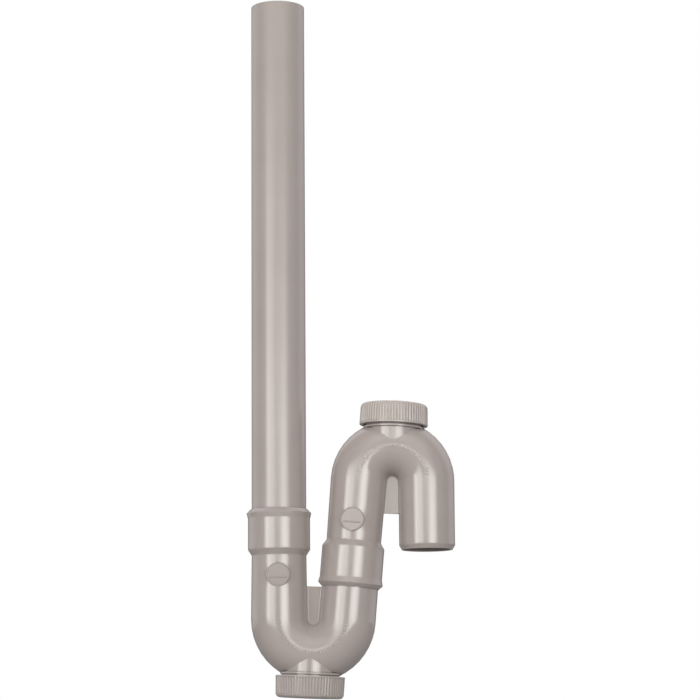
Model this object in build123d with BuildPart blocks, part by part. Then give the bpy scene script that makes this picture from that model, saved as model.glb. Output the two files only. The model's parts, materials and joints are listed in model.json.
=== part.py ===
from build123d import *

import os
from math import cos, pi, radians, sin, sqrt

# Washing machine trap: a tall standpipe over two U bends, each with a screw cap for cleaning.
# Sizes are in millimetres. X runs from the standpipe to the outlet, Z is up, and the viewer looks along +Y.
# The origin is on the outlet's axis, at the depth to which its spigot goes into the next socket.

# Standpipe
pipe_radius = 20.0
pipe_wall = 3.0
pipe_length = 406.1

# Legs and bend of the moulding
spigot_oversize = 0.4
leg_taper = 0.1
leg_wall = 3.1
crotch_radius = 4.3
opening = 5.0

# Socket at one end of the moulding
joint_clearance = 0.08
socket_wall = 2.22
socket_leg = 46.2
leg_draft = 0.55
shoulder_height = 4.2
stop_thickness = 3.95
socket_depth = 25.6
lip_height = 6.8
lip_bevel = 2.9
lip_flare = 0.95
lip_land = 0.35
shoulder_round = 1.2
flare_round = 4.0
lip_round = 0.6

# Spigot at the other end
spigot_reach = 24.65
end_chamfer_height = 3.2
end_chamfer_depth = 1.9
end_round = 2.0
bore_lead = 0.5

# Web between the two legs
web_thickness = 3.0
web_reach = 23.6
web_fillet = 1.2

# Cleaning neck on the outside of the bend
neck_shift = 0.6
boss_step = 0.5
boss_draft = 0.2
neck_step = 0.5
collar_step = 1.2
collar_thickness = 1.6
collar_round = 0.4
cap_gap = 0.9
neck_bore_step = 0.8
neck_bore_draft = 0.3
neck_round = 0.6

# Round pads on the crown of the socket leg
mark_height = 31.4
mark_radius = 8.5
mark_proud = 0.15
mark_point = 1.3
mark_line_length = 12.0
mark_line_width = 0.5
mark_line_rise = 0.25
mark_line_drop = 2.1
back_mark_turn = 6.0

# Screw cap and its flat gasket
rim_clearance = 1.4
thread_space = 1.3
cap_wall = 3.15
cap_top = 2.4
cap_taper = 0.55
cap_corner = 3.2
cap_edge = 0.5
cap_inner_round = 0.5
thread_length = 10.3
gasket_thickness = 3.0
gasket_clearance = 0.6
gasket_play = 0.1
groove_count = 68
groove_depth = 0.55
groove_share = 0.56
groove_floor = 0.45
groove_rim_gap = 1.2

# How far a cut runs past the face that it opens
overcut = 1.0

# Sizes that follow
pipe_bore = pipe_radius - pipe_wall
spigot_radius = pipe_radius + spigot_oversize
leg_radius = spigot_radius + leg_taper
waterway = leg_radius - leg_wall
bend_radius = leg_radius + crotch_radius
bend_sweep = 180 - opening
socket_bore = spigot_radius + joint_clearance
socket_radius = socket_bore + socket_wall
stop_height = socket_leg + shoulder_height + stop_thickness
mouth_height = stop_height + socket_depth
spigot_length = spigot_reach + socket_depth
boss_foot = leg_radius - boss_step
boss_radius = boss_foot + boss_draft
neck_foot_bore = waterway - neck_bore_step
neck_bore = neck_foot_bore + neck_bore_draft
neck_radius = boss_radius + neck_step
collar_radius = neck_radius + collar_step
cap_bore = neck_radius + thread_space
cap_radius = cap_bore + cap_wall
rim_height = sqrt((bend_radius + leg_radius + rim_clearance) ** 2 - cap_bore**2)
collar_top = rim_height - cap_gap
collar_base = collar_top - collar_thickness
neck_end = rim_height + thread_length
cap_ceiling = neck_end + gasket_thickness + gasket_play
cap_end = cap_ceiling + cap_top

# Where the two bends and the caps sit
across = Vector(cos(radians(opening)), 0, -sin(radians(opening)))
along = Vector(sin(radians(opening)), 0, cos(radians(opening)))
upper_centre = Vector(-bend_radius, 0, spigot_reach)
lower_centre = upper_centre - across * (2 * bend_radius) - along * (spigot_length + stop_height)
lower_seat = Plane(origin=lower_centre)
upper_seat = Plane(origin=upper_centre, x_dir=across, z_dir=-along)


def section(x, z, lean):
    """The section plane of a round stretch that starts at (x, z) and leans from up towards +X."""
    turn = radians(lean)
    return Plane(origin=(x, 0, z), x_dir=(cos(turn), 0, -sin(turn)), z_dir=(0, -1, 0))


def turned(plane, outline, mode=Mode.ADD):
    """Turns an outline of (radius, height, corner rounding) about the plane's own Y axis."""
    with BuildSketch(plane) as profile:
        with BuildLine():
            FilletPolyline([(x, y) for x, y, _ in outline], radius=[r for _, _, r in outline], close=True)
        make_face()
    revolve(profile.sketch, axis=Axis(plane.origin, plane.y_dir), mode=mode)


def bend(radius, mode=Mode.ADD):
    """The half turn from the foot of the socket leg, round the bottom, to the foot of the spigot leg."""
    with BuildSketch(Plane.XY) as ring:
        with Locations((-bend_radius, 0)):
            Circle(radius)
    revolve(ring.sketch, axis=Axis((0, 0, 0), (0, -1, 0)), revolution_arc=bend_sweep, mode=mode)


# The moulding's own frame has the bend's centre at its origin and the socket leg straight up.
socket_plane = section(-bend_radius, 0, 0)
spigot_plane = section(bend_radius * across.X, bend_radius * across.Z, opening)
web_plane = section(0, 0, opening / 2)
neck_lean = 180 + opening / 2
neck_origin = section(0, 0, neck_lean).from_local_coords((neck_shift, 0, 0))
neck_plane = section(neck_origin.X, neck_origin.Z, neck_lean)
neck_seat = Plane(origin=neck_origin, x_dir=neck_plane.x_dir, z_dir=neck_plane.y_dir)


def socket_leg_outside():
    turned(
        socket_plane,
        [
            (0, 0, 0),
            (leg_radius, 0, 0),
            (leg_radius - leg_draft, socket_leg, shoulder_round),
            (socket_radius, socket_leg + shoulder_height, shoulder_round),
            (socket_radius, mouth_height - lip_height, flare_round),
            (socket_radius + lip_flare, mouth_height - lip_bevel, lip_round),
            (socket_bore + lip_land, mouth_height, 0),
            (0, mouth_height, 0),
        ],
    )


def socket_leg_bore():
    turned(
        socket_plane,
        [
            (0, 0, 0),
            (waterway, 0, 0),
            (pipe_bore, stop_height, 0),
            (socket_bore, stop_height, 0),
            (socket_bore, mouth_height + overcut, 0),
            (0, mouth_height + overcut, 0),
        ],
        Mode.SUBTRACT,
    )


def spigot_leg_outside():
    turned(
        spigot_plane,
        [
            (0, 0, 0),
            (leg_radius, 0, 0),
            (spigot_radius, spigot_reach, 0),
            (spigot_radius, spigot_length - end_chamfer_height, end_round),
            (spigot_radius - end_chamfer_depth, spigot_length, 0),
            (0, spigot_length, 0),
        ],
    )


def spigot_leg_bore():
    turned(
        spigot_plane,
        [
            (0, 0, 0),
            (waterway, 0, 0),
            (waterway, spigot_length - bore_lead, 0),
            (waterway + bore_lead, spigot_length, 0),
            (waterway + bore_lead, spigot_length + overcut, 0),
            (0, spigot_length + overcut, 0),
        ],
        Mode.SUBTRACT,
    )


def neck_outside():
    turned(
        neck_plane,
        [
            (0, bend_radius, 0),
            (boss_foot, bend_radius, 0),
            (boss_radius, collar_base, 0),
            (collar_radius, collar_base, collar_round),
            (collar_radius, collar_top, collar_round),
            (neck_radius, collar_top, 0),
            (neck_radius, neck_end, neck_round),
            (0, neck_end, 0),
        ],
    )


def neck_opening():
    turned(
        neck_plane,
        [
            (0, bend_radius, 0),
            (neck_foot_bore, bend_radius, 0),
            (neck_bore, neck_end, 0),
            (neck_bore, neck_end + overcut, 0),
            (0, neck_end + overcut, 0),
        ],
        Mode.SUBTRACT,
    )


def web():
    """A flat web in the middle plane, from the bottom of the bend to a straight edge between the legs."""
    with BuildSketch(web_plane) as plate:
        with Locations((0, (web_reach - bend_radius) / 2)):
            Rectangle(2 * bend_radius, web_reach + bend_radius)
    extrude(plate.sketch, amount=web_thickness / 2, both=True)


def on_web_side(edge):
    """Whether an edge runs along one of the web's two flat sides."""
    return all(abs(abs((edge @ at).Y) - web_thickness / 2) < 0.01 for at in (0, 0.5, 1))


def mark(facing, turn, line_offset):
    """A flat round pad with a small point towards the socket and one plain raised line."""
    leg_here = leg_radius - leg_draft * mark_height / socket_leg
    outward = Vector(-sin(radians(turn)) * facing, facing * cos(radians(turn)), 0)
    foot = Vector(-bend_radius, 0, mark_height)
    face = Plane(origin=foot + outward * (leg_here + mark_proud), x_dir=outward.cross(Vector(0, 0, -1)), z_dir=outward)
    depth = leg_here - sqrt(leg_here**2 - mark_radius**2) + 2 * mark_proud
    with BuildSketch(face) as pad:
        Circle(mark_radius)
        with BuildLine():
            Polyline(
                (-mark_point, mark_radius - mark_point / 2),
                (0, mark_radius + mark_point / 2),
                (mark_point, mark_radius - mark_point / 2),
                close=True,
            )
        make_face()
    extrude(pad.sketch, amount=-depth)
    with BuildSketch(face) as line:
        with Locations((0, line_offset)):
            Rectangle(mark_line_length, mark_line_width)
    extrude(line.sketch, amount=mark_line_rise)


# Bend moulding
with BuildPart() as moulding:
    bend(leg_radius)
    socket_leg_outside()
    spigot_leg_outside()
    neck_outside()
    web()
    side_edges = moulding.edges().filter_by(on_web_side).sort_by(Axis(web_plane.origin, web_plane.y_dir))
    fillet(side_edges[:-2], web_fillet)
    mark(-1, 0, -mark_line_drop)
    mark(1, back_mark_turn, mark_line_drop)
    bend(waterway, Mode.SUBTRACT)
    socket_leg_bore()
    spigot_leg_bore()
    neck_opening()

# Standpipe
with BuildPart() as standpipe:
    pipe_foot = lower_centre + Vector(-bend_radius, 0, stop_height)
    with BuildSketch(Plane(origin=pipe_foot)) as pipe_section:
        Circle(pipe_radius)
        Circle(pipe_bore, mode=Mode.SUBTRACT)
    extrude(amount=pipe_length)

# One groove between two grip ribs of the cap, leaning with the cap's tapered side
groove_pitch = 2 * pi * cap_radius / groove_count
groove_width = groove_pitch * groove_share
side_length = cap_end - rim_height
side_lean = cap_taper / side_length
with BuildPart() as groove:
    with BuildSketch(Plane.XY.offset(rim_height + groove_rim_gap)) as groove_section:
        with BuildLine():
            Polyline(
                (cap_radius - groove_depth, -groove_width * groove_floor / 2),
                (cap_radius + groove_depth, -groove_width),
                (cap_radius + groove_depth, groove_width),
                (cap_radius - groove_depth, groove_width * groove_floor / 2),
                close=True,
            )
        make_face()
    extrude(amount=side_length, dir=(-side_lean, 0, 1))

# Screw cap
with BuildPart() as cap:
    turned(
        section(0, 0, 0),
        [
            (0, cap_ceiling, 0),
            (cap_bore, cap_ceiling, cap_inner_round),
            (cap_bore, rim_height, 0),
            (cap_radius, rim_height, cap_edge),
            (cap_radius - cap_taper, cap_end, cap_corner),
            (0, cap_end, 0),
        ],
    )
    with PolarLocations(0, groove_count):
        add(groove.part, mode=Mode.SUBTRACT)

# Flat gasket between the neck's end and the cap
with BuildPart() as gasket:
    with BuildSketch(Plane.XY.offset(neck_end)) as ring_section:
        Circle(cap_bore - gasket_clearance)
        Circle(neck_bore, mode=Mode.SUBTRACT)
    extrude(amount=gasket_thickness)

os.makedirs("parts", exist_ok=True)
standpipe.part.label = "standpipe"
export_step(standpipe.part, "parts/standpipe.step")

# The lower and the upper trap are the same moulding, gasket and cap, each set on its own seat.
for level, seat in (("lower", lower_seat), ("upper", upper_seat)):
    cap_place = seat.location * neck_seat.location
    for kind, piece, place in (
        ("bend", moulding, seat.location),
        ("gasket", gasket, cap_place),
        ("cap", cap, cap_place),
    ):
        with BuildPart() as placed:
            with Locations(place):
                add(piece.part)
        placed.part.label = f"{level}_{kind}"
        export_step(placed.part, f"parts/{level}_{kind}.step")
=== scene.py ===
import json
import random
from math import cos, pi, radians, sin, tan

import bmesh
import bpy
from mathutils import Matrix, Vector


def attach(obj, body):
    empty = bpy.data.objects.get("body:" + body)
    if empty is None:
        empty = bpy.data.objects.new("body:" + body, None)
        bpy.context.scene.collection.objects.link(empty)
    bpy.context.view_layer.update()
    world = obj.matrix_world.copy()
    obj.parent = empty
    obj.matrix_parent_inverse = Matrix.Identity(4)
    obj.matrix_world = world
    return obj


# Washing machine trap: finish, screw threads, studio and camera. Lengths are in metres.

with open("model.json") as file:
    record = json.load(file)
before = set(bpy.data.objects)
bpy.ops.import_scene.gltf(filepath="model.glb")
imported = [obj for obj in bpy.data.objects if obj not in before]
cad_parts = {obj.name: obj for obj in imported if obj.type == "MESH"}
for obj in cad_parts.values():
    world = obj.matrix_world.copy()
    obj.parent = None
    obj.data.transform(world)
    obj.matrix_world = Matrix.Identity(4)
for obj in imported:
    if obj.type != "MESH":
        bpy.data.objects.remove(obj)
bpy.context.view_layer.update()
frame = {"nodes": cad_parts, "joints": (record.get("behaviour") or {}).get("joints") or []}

# Sizes of the bend mouldings, as the solids have them
BEND_RADIUS = 0.0248
LEG_RADIUS = 0.0205
NECK_RADIUS = 0.0207
CAP_BORE = 0.0220
JOINT_POS_FROM_BEND = 0.050
NECK_SHIFT = 0.0006
NECK_LEAN = radians(2.5)

# Round pads on the front and back of each socket leg. A pad is (which way it faces, its turn round the leg).
FRONT_PAD = (-1.0, 0.0)
BACK_PAD = (1.0, radians(6.0))
PAD_HEIGHT = 0.0314
PAD_FACE = 0.020276
PAD_RADIUS = 0.0085
PAD_POINT = 0.00915
PAD_POINT_FROM_SINE = 0.9
PAD_LINE_DROP = 0.0021

# Screw threads on the necks and in the caps
PITCH = 0.0035
THREAD_DEPTH = 0.00085
THREAD_BASE = 0.0021
THREAD_FLANK = 0.55
THREAD_SINK = 0.0001
THREAD_POINTS = 11
NECK_THREAD = (0.0425, 0.0496)
CAP_THREAD = (0.0433, 0.0500)
STEPS_A_TURN = 96
RUN_OUT_TURNS = 0.12
THREAD_CREASE = radians(50.0)

# Raised dashes along the crown of each bend
DASH_HEIGHT = 0.0034
DASH_WIDTH = 0.0009
DASH_PITCH = 0.0020
DASH_PROFILE = ((-0.00005, 0.0), (0.00015, 0.00008), (0.00025, 0.0002), (0.0003, 0.00034))
DASH_ENDS = ((-0.5, 0.5), (0.1, 0.5), (-0.5, -0.1), (-0.2, 0.2), (-0.5, 0.1), (-0.1, 0.5))
DASH_FROM = radians(1.5)
DASH_TO = radians(86.0)
DASH_SEEDS = {"lower": 7, "upper": 11}
DASH_CREASE = radians(50.0)

# Bead round each pad, and the bar across it
TRIM_PROFILE = ((-0.5, -0.2), (-0.4, 0.75), (-0.2, 1.0), (0.2, 1.0), (0.4, 0.75), (0.5, -0.2))
BEAD_WIDTH = 0.0007
BEAD_RISE = 0.00028
BEAD_STEPS = 144
BAR_LENGTH = 0.0126
BAR_RISE = 0.00036
BAR_SECTIONS = ((-1.0, 0.3), (-0.96, 1.0), (0.96, 1.0), (1.0, 0.3))
TRIM_CREASE = radians(60.0)

# Colours. A pair is the darker and the paler tone of one material.
PLASTIC = ((0.345, 0.301, 0.283), (0.364, 0.318, 0.298))
# Cap plastic. The two caps are one moulding: the upper cap's tones are paler by painted light, the lower
# cap's darker by painted shade.
LOWER_CAP_SHADED = ((0.361, 0.316, 0.295), (0.380, 0.333, 0.311))
UPPER_CAP_LIT = ((0.408, 0.357, 0.332), (0.428, 0.375, 0.348))
# Paler plastic of the raised dashes, a painted highlight for their glints.
DASH_HIGHLIGHT_TONES = ((0.400, 0.352, 0.328), (0.480, 0.432, 0.408))
RUBBER = ((0.012, 0.012, 0.012), (0.035, 0.034, 0.033))
FLOOR = ((0.71, 0.71, 0.71), (0.73, 0.73, 0.73))
# Paler tones painted along sharp edges and rib tops, a painted highlight.
PLASTIC_EDGE_HIGHLIGHT = (0.400, 0.352, 0.331)
CAP_EDGE_HIGHLIGHT = (0.600, 0.545, 0.515)
WHITE = (1.0, 1.0, 1.0)

# Refraction and roughness
PLASTIC_IOR = 1.5
RUBBER_IOR = 1.52
FLOOR_IOR = 1.45
PIPE_ROUGHNESS = (0.19, 0.25)
MOULDED_ROUGHNESS = (0.09, 0.13)
RUBBER_ROUGHNESS = (0.55, 0.8)
FLOOR_ROUGHNESS = (0.75, 0.85)

# Where most values of a noise lie
NOISE_RANGE = (0.3, 0.7)

# Surface patterns, in repeats a metre, and the heights of their bumps
PIPE_STREAKS = (260.0, 260.0, 1.5)
PIPE_CLOUDS = 28.0
PIPE_GRAIN = 2600.0
MOULD_CLOUDS = 45.0
MOULD_WAVES = 90.0
MOULD_SKIN = 1900.0
RUBBER_DUST = 500.0
RUBBER_GRAIN = 3000.0
FLOOR_MOTTLE = 60.0
STREAK_HEIGHT = 0.00001
SKIN_HEIGHT = 0.000004
BEND_WAVE_HEIGHT = 0.00006
DASH_WAVE_HEIGHT = 0.00002
CAP_WAVE_HEIGHT = 0.00001
RUBBER_GRAIN_HEIGHT = 0.00002
FLOOR_MOTTLE_HEIGHT = 0.0002

# Painted shade in narrow grooves and corners, and a painted highlight along edges where the rounded normal
# and the flat one part
CREVICE_REACH = 0.0012
CREVICE_LIGHT = (0.45, 0.9)
CREVICE_TONE = 0.35
CREVICE_SAMPLES = 8
EDGE_ROUND = 0.00035
EDGE_SAMPLES = 6
EDGE_HIGHLIGHT_AGREEMENT = (0.99, 0.85)

# Camera
CAMERA_PLACE = Vector((-0.0356, -1.7449, -0.1627))
CAMERA_PITCH = radians(9.287)
CAMERA_YAW = radians(-0.645)
CAMERA_ROLL = radians(-0.432)
CAMERA_LENS = 122.92
SENSOR = 36.0
CLIP_START = 0.05

# Floor
FLOOR_HEIGHT = -0.21
FLOOR_RADIUS = 1.9
FLOOR_SIDES = 128
FLOOR_BOUNCE = (0.25, 0.25, 0.25)

# Room. Its stops are (how far a direction points away from the camera's side, brightness).
WALL_COLOUR = (1.0, 0.98, 1.01)
LEFT_AND_RIGHT_WALL = (1.0, 0.95)
WALL_TURN = (-0.7, 0.7)
ROOM_STOPS = ((0.0, 0.22), (0.25, 1.15), (0.5, 1.15), (0.75, 0.85), (0.9, 0.22), (1.0, 0.1))

# Softboxes. Stops are (share of the way, share of the brightness), from the camera's left or from below.
BOX_COLOUR = (1.0, 0.997, 0.973)
LIGHT_TARGET = Vector((-0.076, 0.0, 0.02))
LIGHT_DISTANCE = 2.4
WATTS_A_SQUARE_METRE = 10.0
LEFT_ACROSS = ((0.0, 0.0), (0.12, 0.55), (0.3, 1.0), (0.5, 0.75), (0.8, 0.6), (0.92, 0.3), (1.0, 0.0))
LEFT_UPWARD = (
    (0.0, 0.3), (0.08, 0.75), (0.22, 0.95), (0.35, 1.0),
    (0.53, 0.75), (0.72, 0.38), (0.83, 0.18), (1.0, 0.0),
)
RIGHT_ACROSS = ((0.0, 0.0), (0.1, 0.35), (0.25, 0.75), (0.42, 1.0), (0.65, 0.85), (0.85, 0.4), (1.0, 0.0))
RIGHT_UPWARD = ((0.0, 0.5), (0.07, 0.8), (0.21, 1.0), (0.38, 0.8), (0.6, 0.4), (0.77, 0.1), (1.0, 0.0))
MIDDLE_STOPS = ((0.0, 0.0), (0.3, 1.0), (0.7, 1.0), (1.0, 0.0))
WIDE_STOPS = ((0.0, 0.0), (0.25, 0.8), (0.5, 1.0), (0.75, 0.8), (1.0, 0.0))
OVERHEAD_UPWARD = ((0.0, 0.0), (0.2, 0.6), (0.4, 1.0), (0.7, 0.7), (1.0, 0.0))
BACK_UPWARD = ((0.0, 0.0), (0.3, 0.8), (0.5, 1.0), (0.7, 0.8), (1.0, 0.0))


def feed(tree, socket, value):
    """Links another node's output to a socket, or sets the socket to a number or a colour."""
    if isinstance(value, bpy.types.NodeSocket):
        tree.links.new(value, socket)
    elif socket.type == "RGBA":
        socket.default_value = (*value, 1.0)
    else:
        socket.default_value = value


def add_node(tree, kind, inputs, **settings):
    """A node of a kind, with its own settings and then its inputs filled in."""
    node = tree.nodes.new(kind)
    for name, value in settings.items():
        setattr(node, name, value)
    for name, value in inputs.items():
        feed(tree, node.inputs[name], value)
    return node


def fresh_tree(owner):
    """The node tree of a material, light or world, emptied."""
    owner.use_nodes = True
    owner.node_tree.nodes.clear()
    return owner.node_tree


def place_on(tree):
    """The place of a surface point in its own mesh, which the patterns follow."""
    return tree.nodes.new("ShaderNodeTexCoord").outputs["Object"]


def noise(tree, place, scale, detail=2.0, roughness=0.5):
    """The value of a noise texture at a place."""
    inputs = {"Vector": place, "Scale": scale, "Detail": detail, "Roughness": roughness}
    return add_node(tree, "ShaderNodeTexNoise", inputs).outputs["Fac"]


def remapped(tree, value, before, after):
    """A value moved from one range to another, and held at its ends."""
    inputs = {
        "Value": value,
        "From Min": before[0],
        "From Max": before[1],
        "To Min": after[0],
        "To Max": after[1],
    }
    return add_node(tree, "ShaderNodeMapRange", inputs).outputs["Result"]


def spread(tree, value, reach):
    """A noise value spread over a reach of (low, high)."""
    return remapped(tree, value, NOISE_RANGE, reach)


def bump(tree, height, distance, strength, normal=None):
    """A bump of a height value, on top of another normal if one is given."""
    inputs = {"Height": height, "Distance": distance, "Strength": strength}
    if normal is not None:
        inputs["Normal"] = normal
    return add_node(tree, "ShaderNodeBump", inputs).outputs["Normal"]


def mixed(tree, share, first, second):
    """A colour between two, chosen by a share."""
    inputs = {"Factor": share, "A": first, "B": second}
    return add_node(tree, "ShaderNodeMix", inputs, data_type="RGBA").outputs["Result"]


def two_tone(tree, value, tones):
    """A colour between a darker and a paler tone, chosen by a noise value."""
    return mixed(tree, spread(tree, value, (0.0, 1.0)), *tones)


def painted_crevice_shade(tree, colour):
    """Painted shade: the colour, darker where the surface lies in a narrow corner or groove."""
    reach = {"Distance": CREVICE_REACH}
    occlusion = add_node(tree, "ShaderNodeAmbientOcclusion", reach, samples=CREVICE_SAMPLES)
    tone = remapped(tree, occlusion.outputs["AO"], CREVICE_LIGHT, (CREVICE_TONE, 1.0))
    darkened = add_node(tree, "ShaderNodeVectorMath", {0: colour, "Scale": tone}, operation="SCALE")
    return darkened.outputs["Vector"]


def rounded_edges(tree):
    """The surface's normal, rounded over at sharp edges so that they catch the light."""
    bevel = add_node(tree, "ShaderNodeBevel", {"Radius": EDGE_ROUND}, samples=EDGE_SAMPLES)
    return bevel.outputs["Normal"]


def painted_edge_highlight(tree, colour, rounded, edge_highlight):
    """A painted highlight: the colour, paler along edges and rib tops, where the rounded normal parts from
    the flat one.
    """
    flat = tree.nodes.new("ShaderNodeNewGeometry").outputs["Normal"]
    agreement = add_node(tree, "ShaderNodeVectorMath", {0: rounded, 1: flat}, operation="DOT_PRODUCT")
    highlight_share = remapped(tree, agreement.outputs["Value"], EDGE_HIGHLIGHT_AGREEMENT, (0.0, 1.0))
    return mixed(tree, highlight_share, colour, edge_highlight)


def solid_shader(tree, colour, roughness, normal, ior):
    """The shader of a solid, unpainted material."""
    inputs = {"Base Color": colour, "Roughness": roughness, "Normal": normal, "IOR": ior}
    return add_node(tree, "ShaderNodeBsdfPrincipled", inputs).outputs["BSDF"]


def shader_for_eye(tree, seen, unseen):
    """One shader for what the camera sees, and another for the light that reaches the trap."""
    for_eye = tree.nodes.new("ShaderNodeLightPath").outputs["Is Camera Ray"]
    return add_node(tree, "ShaderNodeMixShader", {0: for_eye, 1: unseen, 2: seen}).outputs["Shader"]


def extruded_plastic():
    """Grey pipe plastic, drawn out along Z, so its streaks run up and down."""
    material = bpy.data.materials.new("extruded_grey_plastic")
    tree = fresh_tree(material)
    place = place_on(tree)
    drawn = add_node(tree, "ShaderNodeMapping", {"Vector": place, "Scale": PIPE_STREAKS}).outputs["Vector"]
    streaks = noise(tree, drawn, scale=1.0, detail=3.0, roughness=0.6)
    clouds = noise(tree, place, PIPE_CLOUDS, detail=3.0)
    grain = noise(tree, place, PIPE_GRAIN)
    # Painted shade in grooves, over the plastic's own tones.
    colour = painted_crevice_shade(tree, two_tone(tree, clouds, PLASTIC))
    roughness = spread(tree, streaks, PIPE_ROUGHNESS)
    normal = bump(tree, streaks, STREAK_HEIGHT, strength=0.5, normal=rounded_edges(tree))
    normal = bump(tree, grain, SKIN_HEIGHT, strength=0.6, normal=normal)
    shader = solid_shader(tree, colour, roughness, normal, PLASTIC_IOR)
    add_node(tree, "ShaderNodeOutputMaterial", {"Surface": shader})
    return material


def moulded_plastic(name, tones, edge_highlight, wave_height):
    """Grey injection moulded plastic, with a slight wave from the mould and a fine skin."""
    material = bpy.data.materials.new(name)
    tree = fresh_tree(material)
    place = place_on(tree)
    clouds = noise(tree, place, MOULD_CLOUDS, detail=3.0)
    waves = noise(tree, place, MOULD_WAVES)
    skin = noise(tree, place, MOULD_SKIN)
    rounded = rounded_edges(tree)
    # Painted highlight along edges and painted shade in grooves, over the plastic's own tones.
    colour = painted_crevice_shade(tree, painted_edge_highlight(tree, two_tone(tree, clouds, tones), rounded, edge_highlight))
    roughness = spread(tree, clouds, MOULDED_ROUGHNESS)
    normal = bump(tree, waves, wave_height, strength=0.5, normal=rounded)
    normal = bump(tree, skin, SKIN_HEIGHT, strength=0.6, normal=normal)
    shader = solid_shader(tree, colour, roughness, normal, PLASTIC_IOR)
    add_node(tree, "ShaderNodeOutputMaterial", {"Surface": shader})
    return material


def black_rubber():
    """Soft black rubber of a flat gasket."""
    material = bpy.data.materials.new("black_rubber")
    tree = fresh_tree(material)
    place = place_on(tree)
    dust = noise(tree, place, RUBBER_DUST, detail=4.0)
    grain = noise(tree, place, RUBBER_GRAIN)
    colour = two_tone(tree, dust, RUBBER)
    roughness = spread(tree, dust, RUBBER_ROUGHNESS)
    normal = bump(tree, grain, RUBBER_GRAIN_HEIGHT, strength=0.7)
    shader = solid_shader(tree, colour, roughness, normal, RUBBER_IOR)
    add_node(tree, "ShaderNodeOutputMaterial", {"Surface": shader})
    return material


def dress(node_name, material):
    """Gives a CAD node its finish."""
    for slot in frame["nodes"][node_name].material_slots:
        slot.material = material


def add_piece(mesh, material, body):
    """Links a finished mesh as a piece that rides on a body."""
    piece = bpy.data.objects.new(mesh.name, mesh)
    bpy.context.scene.collection.objects.link(piece)
    mesh.materials.append(material)
    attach(piece, body)


def mesh_from(name, bm, crease):
    """Turns finished bmesh geometry into a smooth shaded mesh that keeps edges sharper than the crease."""
    bmesh.ops.recalc_face_normals(bm, faces=bm.faces)
    mesh = bpy.data.meshes.new(name)
    bm.to_mesh(mesh)
    bm.free()
    mesh.shade_smooth()
    mesh.set_sharp_from_angle(angle=crease)
    return mesh


def add_points(bm, place, points):
    """One row of mesh points, given in a place's own frame."""
    return [bm.verts.new(place @ Vector(point)) for point in points]


def join_rows(bm, rows):
    """Quads between each row of points and the next, with every row closed on itself."""
    for before, after in zip(rows, rows[1:]):
        for k in range(len(before)):
            m = (k + 1) % len(before)
            bm.faces.new((before[k], before[m], after[m], after[k]))


def join_bar(bm, rows):
    """A solid bar through rows of points, closed at both ends."""
    join_rows(bm, rows)
    bm.faces.new(rows[0])
    bm.faces.new(rows[-1])


def neck_frame(level):
    """The cleaning neck's own frame: its foot at the bend's centre, Z along the neck, out of the bend."""
    joint = next(j for j in frame["joints"] if j["name"] == f"{level}_cap_turn")
    axis = Vector(joint["axis"]).normalized()
    foot = Vector(joint["pos_m"]) - axis * JOINT_POS_FROM_BEND
    side = Vector((0.0, 1.0, 0.0))
    turn = Matrix((side.cross(axis), side, axis)).transposed()
    return Matrix.Translation(foot) @ turn.to_4x4()


def moulding_frame(level):
    """The bend moulding's own frame: the bend's centre, with Z up the socket leg, which stands at -X."""
    place = neck_frame(level)
    if level == "upper":
        place = place @ Matrix.Rotation(pi, 4, "Z")
    across = Vector((-cos(NECK_LEAN), 0.0, sin(NECK_LEAN)))
    along = Vector((-sin(NECK_LEAN), 0.0, -cos(NECK_LEAN)))
    neck_in_moulding = Matrix((across, Vector((0.0, 1.0, 0.0)), along)).transposed().to_4x4()
    return place @ Matrix.Translation((-NECK_SHIFT, 0.0, 0.0)) @ neck_in_moulding.inverted()


def pad_frame(level, facing, turn):
    """The frame of a round pad on the socket leg: Z out of its face and Y towards the socket."""
    outward = Vector((-sin(turn) * facing, cos(turn) * facing, 0.0))
    upward = Vector((0.0, 0.0, 1.0))
    centre = Vector((-BEND_RADIUS, 0.0, PAD_HEIGHT)) + outward * PAD_FACE
    face = Matrix((upward.cross(outward), upward, outward)).transposed().to_4x4()
    return moulding_frame(level) @ Matrix.Translation(centre) @ face


def smooth_step(value):
    """0 below 0, 1 above 1, and a smooth rise between."""
    value = min(1.0, max(0.0, value))
    return value * value * (3.0 - 2.0 * value)


def thread_mesh(name, place, root, outward, span):
    """A right-hand thread ridge round the Z axis of a place, standing out of (or into) a round wall."""
    turns = (span[1] - span[0]) / PITCH
    steps = round(turns * STEPS_A_TURN)
    shares = [2.0 * k / (THREAD_POINTS - 1) - 1.0 for k in range(THREAD_POINTS)]
    bm = bmesh.new()
    rows = []
    for step in range(steps + 1):
        done = turns * step / steps
        run_out = smooth_step(min(done, turns - done) / RUN_OUT_TURNS)
        angle = 2.0 * pi * done
        points = []
        for share in shares:
            flank = smooth_step((1.0 - abs(share)) / THREAD_FLANK)
            radius = root + outward * (THREAD_DEPTH * run_out * flank - THREAD_SINK)
            height = span[0] + PITCH * done + share * THREAD_BASE / 2.0
            points.append((radius * cos(angle), radius * sin(angle), height))
        rows.append(add_points(bm, place, points))
    join_bar(bm, rows)
    return mesh_from(name, bm, THREAD_CREASE)


def pad_edge(angle):
    """The radius of a pad's edge at an angle, with the small point that it has towards the socket."""
    if sin(angle) <= PAD_POINT_FROM_SINE:
        return PAD_RADIUS
    return max(PAD_RADIUS, PAD_POINT / (abs(cos(angle)) + sin(angle)))


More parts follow.
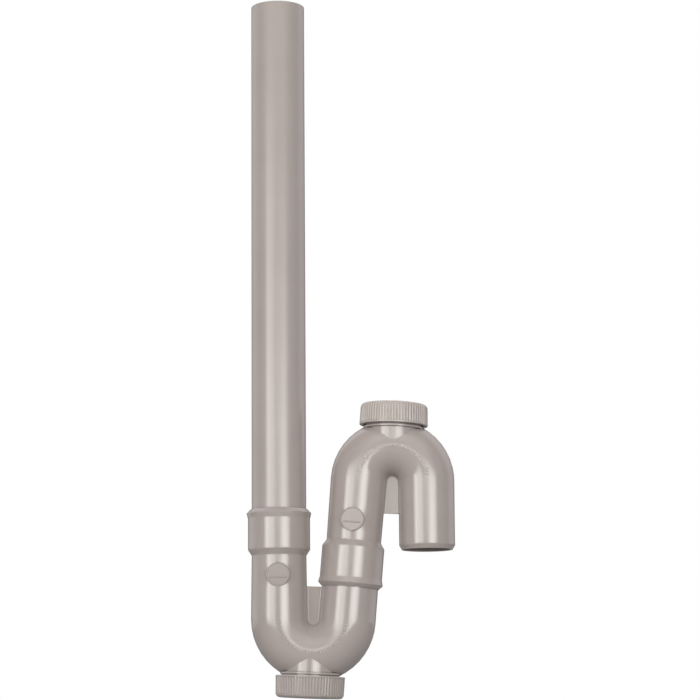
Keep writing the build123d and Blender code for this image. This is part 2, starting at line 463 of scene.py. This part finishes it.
def pad_trim_mesh(name, place, bar_height):
    """The low bead that runs round a pad just inside its edge, and the bar across the pad."""
    bm = bmesh.new()
    bead = []
    for step in range(BEAD_STEPS):
        angle = 2.0 * pi * step / BEAD_STEPS
        points = []
        for across, rise in TRIM_PROFILE:
            radius = pad_edge(angle) + (across - 0.5) * BEAD_WIDTH
            points.append((radius * cos(angle), radius * sin(angle), rise * BEAD_RISE))
        bead.append(add_points(bm, place, points))
    join_rows(bm, bead + bead[:1])
    bar = []
    for end, fall in BAR_SECTIONS:
        points = []
        for across, rise in TRIM_PROFILE:
            height = bar_height + across * BEAD_WIDTH
            points.append((end * BAR_LENGTH / 2.0, height, rise * fall * BAR_RISE))
        bar.append(add_points(bm, place, points))
    join_bar(bm, bar)
    return mesh_from(name, bm, TRIM_CREASE)


def dash_mesh(name, place, seed):
    """A row of plain raised dashes along the front crown of a bend, either side of its neck."""
    draw = random.Random(seed)
    bm = bmesh.new()
    step = DASH_PITCH / BEND_RADIUS
    count = int((DASH_TO - DASH_FROM) / step)
    for side in (-1, 1):
        for number in range(count):
            angle = side * (DASH_FROM + number * step)
            low, high = draw.choice(DASH_ENDS)
            add_dash(bm, place, angle, low * DASH_HEIGHT, high * DASH_HEIGHT)
    return mesh_from(name, bm, DASH_CREASE)


def add_dash(bm, place, angle, low, high):
    """One dash: a low bar that follows the bend's crown, from one distance off the crown line to another."""
    rings = []
    for rise, inset in DASH_PROFILE:
        start = low + inset
        end = high - inset
        points = []
        for off_crown, hand in ((start, -1), (start, 1), (end, 1), (end, -1)):
            section = off_crown / LEG_RADIUS
            turn = angle + hand * (DASH_WIDTH / 2.0 - inset) / BEND_RADIUS
            reach = BEND_RADIUS + (LEG_RADIUS + rise) * sin(section)
            points.append((reach * sin(turn), -(LEG_RADIUS + rise) * cos(section), reach * cos(turn)))
        rings.append(add_points(bm, place, points))
    join_bar(bm, rings)


def dress_level(level, bend, dash_finish, cap, gasket):
    """The finishes, pad trims, threads and dashes of the lower or the upper trap."""
    dress(f"{level}_bend", bend)
    dress(f"{level}_cap", cap)
    dress(f"{level}_gasket", gasket)
    for number, (facing, turn) in enumerate((FRONT_PAD, BACK_PAD), 1):
        place = pad_frame(level, facing, turn)
        trim = pad_trim_mesh(f"{level}_pad_trim_{number}", place, facing * PAD_LINE_DROP)
        add_piece(trim, bend, "trap")
    neck = neck_frame(level)
    neck_thread = thread_mesh(f"{level}_neck_thread", neck, NECK_RADIUS, outward=1.0, span=NECK_THREAD)
    add_piece(neck_thread, bend, "trap")
    half_turned = neck @ Matrix.Rotation(pi, 4, "Z")
    cap_thread = thread_mesh(f"{level}_cap_thread", half_turned, CAP_BORE, outward=-1.0, span=CAP_THREAD)
    add_piece(cap_thread, cap, f"{level}_cap")
    crown = Matrix.Translation(moulding_frame(level).translation - neck.translation) @ neck
    dashes = dash_mesh(f"{level}_bend_dashes", crown, DASH_SEEDS[level])
    # The dashes take the paler plastic, a painted highlight for their glints.
    add_piece(dashes, dash_finish, "trap")


def add_camera():
    """A long lens low in front of the trap, looking slightly up."""
    forward = Vector((
        sin(CAMERA_YAW) * cos(CAMERA_PITCH),
        cos(CAMERA_YAW) * cos(CAMERA_PITCH),
        sin(CAMERA_PITCH),
    ))
    right = Vector((cos(CAMERA_YAW), -sin(CAMERA_YAW), 0.0))
    up = right.cross(forward)
    rolled_right = right * cos(CAMERA_ROLL) + up * sin(CAMERA_ROLL)
    rolled_up = up * cos(CAMERA_ROLL) - right * sin(CAMERA_ROLL)
    facing = Matrix((rolled_right, rolled_up, -forward)).transposed().to_4x4()
    data = bpy.data.cameras.new("camera")
    data.lens = CAMERA_LENS
    data.sensor_width = SENSOR
    data.clip_start = CLIP_START
    camera = bpy.data.objects.new("camera", data)
    camera.matrix_world = Matrix.Translation(CAMERA_PLACE) @ facing
    bpy.context.scene.collection.objects.link(camera)
    bpy.context.scene.camera = camera


def graded(tree, value, stops):
    """A number that changes along stops of (place, number), from place 0 to 1, with smooth steps."""
    node = add_node(tree, "ShaderNodeValToRGB", {"Fac": value})
    ramp = node.color_ramp
    ramp.interpolation = "EASE"
    for stop in stops[1:-1]:
        ramp.elements.new(stop[0])
    for element, (place, number) in zip(ramp.elements, stops):
        element.position = place
        element.color = (number, number, number, 1.0)
    return node.outputs["Color"]


def product(tree, first, second):
    """The product of two numbers."""
    return add_node(tree, "ShaderNodeMath", {0: first, 1: second}, operation="MULTIPLY").outputs["Value"]


def add_softbox(name, spot, target, size, brightness, across, upward):
    """A softbox with a hot middle and dim edges, which faces a target."""
    data = bpy.data.lights.new(name, "AREA")
    data.shape = "RECTANGLE"
    data.size, data.size_y = size
    data.energy = WATTS_A_SQUARE_METRE * brightness * data.size * data.size_y
    data.color = BOX_COLOUR
    tree = fresh_tree(data)
    surface_place = tree.nodes.new("ShaderNodeNewGeometry").outputs["Parametric"]
    split = add_node(tree, "ShaderNodeSeparateXYZ", {0: surface_place}).outputs
    strength = product(tree, graded(tree, split["X"], across), graded(tree, split["Y"], upward))
    emission = add_node(tree, "ShaderNodeEmission", {"Strength": strength}).outputs["Emission"]
    add_node(tree, "ShaderNodeOutputLight", {"Surface": emission})
    light = bpy.data.objects.new(name, data)
    facing = (target - spot).to_track_quat("-Z", "Y")
    light.matrix_world = Matrix.Translation(spot) @ facing.to_matrix().to_4x4()
    bpy.context.scene.collection.objects.link(light)
    return light


def add_upright_softbox(name, azimuths, heights, brightness, across, upward):
    """An upright softbox round the trap. Azimuth 0 is the camera's side, and positive is to the right."""
    left, right = (radians(a) for a in azimuths)
    bottom, top = heights
    middle = (left + right) / 2.0
    target = Vector((LIGHT_TARGET.x, LIGHT_TARGET.y, (bottom + top) / 2.0))
    spot = target + LIGHT_DISTANCE * Vector((sin(middle), -cos(middle), 0.0))
    size = (2.0 * LIGHT_DISTANCE * tan((right - left) / 2.0), top - bottom)
    add_softbox(name, spot, target, size, brightness, across, upward)


def add_raised_softbox(name, offset, size, brightness, across, upward):
    """A softbox above the trap, at an offset from the light target that it faces."""
    return add_softbox(name, LIGHT_TARGET + Vector(offset), LIGHT_TARGET, size, brightness, across, upward)


def add_lights():
    """Three upright softboxes in front, one overhead, and one high behind that no surface mirrors."""
    add_upright_softbox(
        "left_softbox", azimuths=(-56.0, -10.0), heights=(-0.18, 1.2), brightness=2.85,
        across=LEFT_ACROSS, upward=LEFT_UPWARD,
    )
    add_upright_softbox(
        "right_softbox", azimuths=(2.0, 46.0), heights=(-0.18, 1.0), brightness=3.35,
        across=RIGHT_ACROSS, upward=RIGHT_UPWARD,
    )
    add_upright_softbox(
        "middle_softbox", azimuths=(-14.0, 10.0), heights=(0.1, 0.75), brightness=1.15,
        across=MIDDLE_STOPS, upward=MIDDLE_STOPS,
    )
    add_raised_softbox(
        "overhead_softbox", offset=(0.3, -2.0, 1.9), size=(4.0, 2.8), brightness=0.46,
        across=WIDE_STOPS, upward=OVERHEAD_UPWARD,
    )
    back = add_raised_softbox(
        "back_softbox", offset=(0.0, 1.9, 1.9), size=(4.0, 1.8), brightness=2.4,
        across=WIDE_STOPS, upward=BACK_UPWARD,
    )
    back.visible_glossy = False


def add_world():
    """White all round for the eye. The trap is lit by a dim room with pale walls behind its two sides."""
    world = bpy.data.worlds.new("studio")
    bpy.context.scene.world = world
    tree = fresh_tree(world)
    direction = tree.nodes.new("ShaderNodeTexCoord").outputs["Generated"]
    split = add_node(tree, "ShaderNodeSeparateXYZ", {0: direction}).outputs
    walls = remapped(tree, split["X"], WALL_TURN, LEFT_AND_RIGHT_WALL)
    strength = product(tree, graded(tree, split["Y"], ROOM_STOPS), walls)
    room = add_node(tree, "ShaderNodeBackground", {"Color": WALL_COLOUR, "Strength": strength})
    seen = add_node(tree, "ShaderNodeBackground", {"Color": WHITE})
    shader = shader_for_eye(tree, seen.outputs["Background"], room.outputs["Background"])
    add_node(tree, "ShaderNodeOutputWorld", {"Surface": shader})


def pale_floor():
    """The floor's plain pale finish, which throws little light back up at the trap."""
    material = bpy.data.materials.new("pale_floor")
    tree = fresh_tree(material)
    mottle = noise(tree, place_on(tree), FLOOR_MOTTLE, detail=3.0)
    colour = two_tone(tree, mottle, FLOOR)
    roughness = spread(tree, mottle, FLOOR_ROUGHNESS)
    normal = bump(tree, mottle, FLOOR_MOTTLE_HEIGHT, strength=0.2)
    seen = solid_shader(tree, colour, roughness, normal, FLOOR_IOR)
    bounce = add_node(tree, "ShaderNodeBsdfDiffuse", {"Color": FLOOR_BOUNCE}).outputs["BSDF"]
    add_node(tree, "ShaderNodeOutputMaterial", {"Surface": shader_for_eye(tree, seen, bounce)})
    return material


def add_floor():
    """A round floor below the trap."""
    bm = bmesh.new()
    bmesh.ops.create_circle(bm, cap_ends=True, segments=FLOOR_SIDES, radius=FLOOR_RADIUS)
    mesh = bpy.data.meshes.new("floor")
    bm.to_mesh(mesh)
    bm.free()
    mesh.materials.append(pale_floor())
    floor = bpy.data.objects.new("floor", mesh)
    floor.location = (0.0, 0.0, FLOOR_HEIGHT)
    bpy.context.scene.collection.objects.link(floor)


bend_finish = moulded_plastic("moulded_grey_plastic", PLASTIC, PLASTIC_EDGE_HIGHLIGHT, BEND_WAVE_HEIGHT)
# Paler plastic for the dashes, a painted highlight for their glints.
dash_highlight_finish = moulded_plastic("dash_highlight_grey_plastic", DASH_HIGHLIGHT_TONES, DASH_HIGHLIGHT_TONES[1], DASH_WAVE_HEIGHT)
gasket_finish = black_rubber()
dress("standpipe", extruded_plastic())
# Each cap gets its own tones: the upper cap paler by painted light, the lower darker by painted shade.
for level_name, cap_painted_tones in (("lower", LOWER_CAP_SHADED), ("upper", UPPER_CAP_LIT)):
    cap_finish = moulded_plastic(f"{level_name}_cap_grey_plastic", cap_painted_tones, CAP_EDGE_HIGHLIGHT, CAP_WAVE_HEIGHT)
    dress_level(level_name, bend_finish, dash_highlight_finish, cap_finish, gasket_finish)

add_world()
add_floor()
add_lights()
add_camera()
bpy.context.scene.view_settings.view_transform = "Standard"
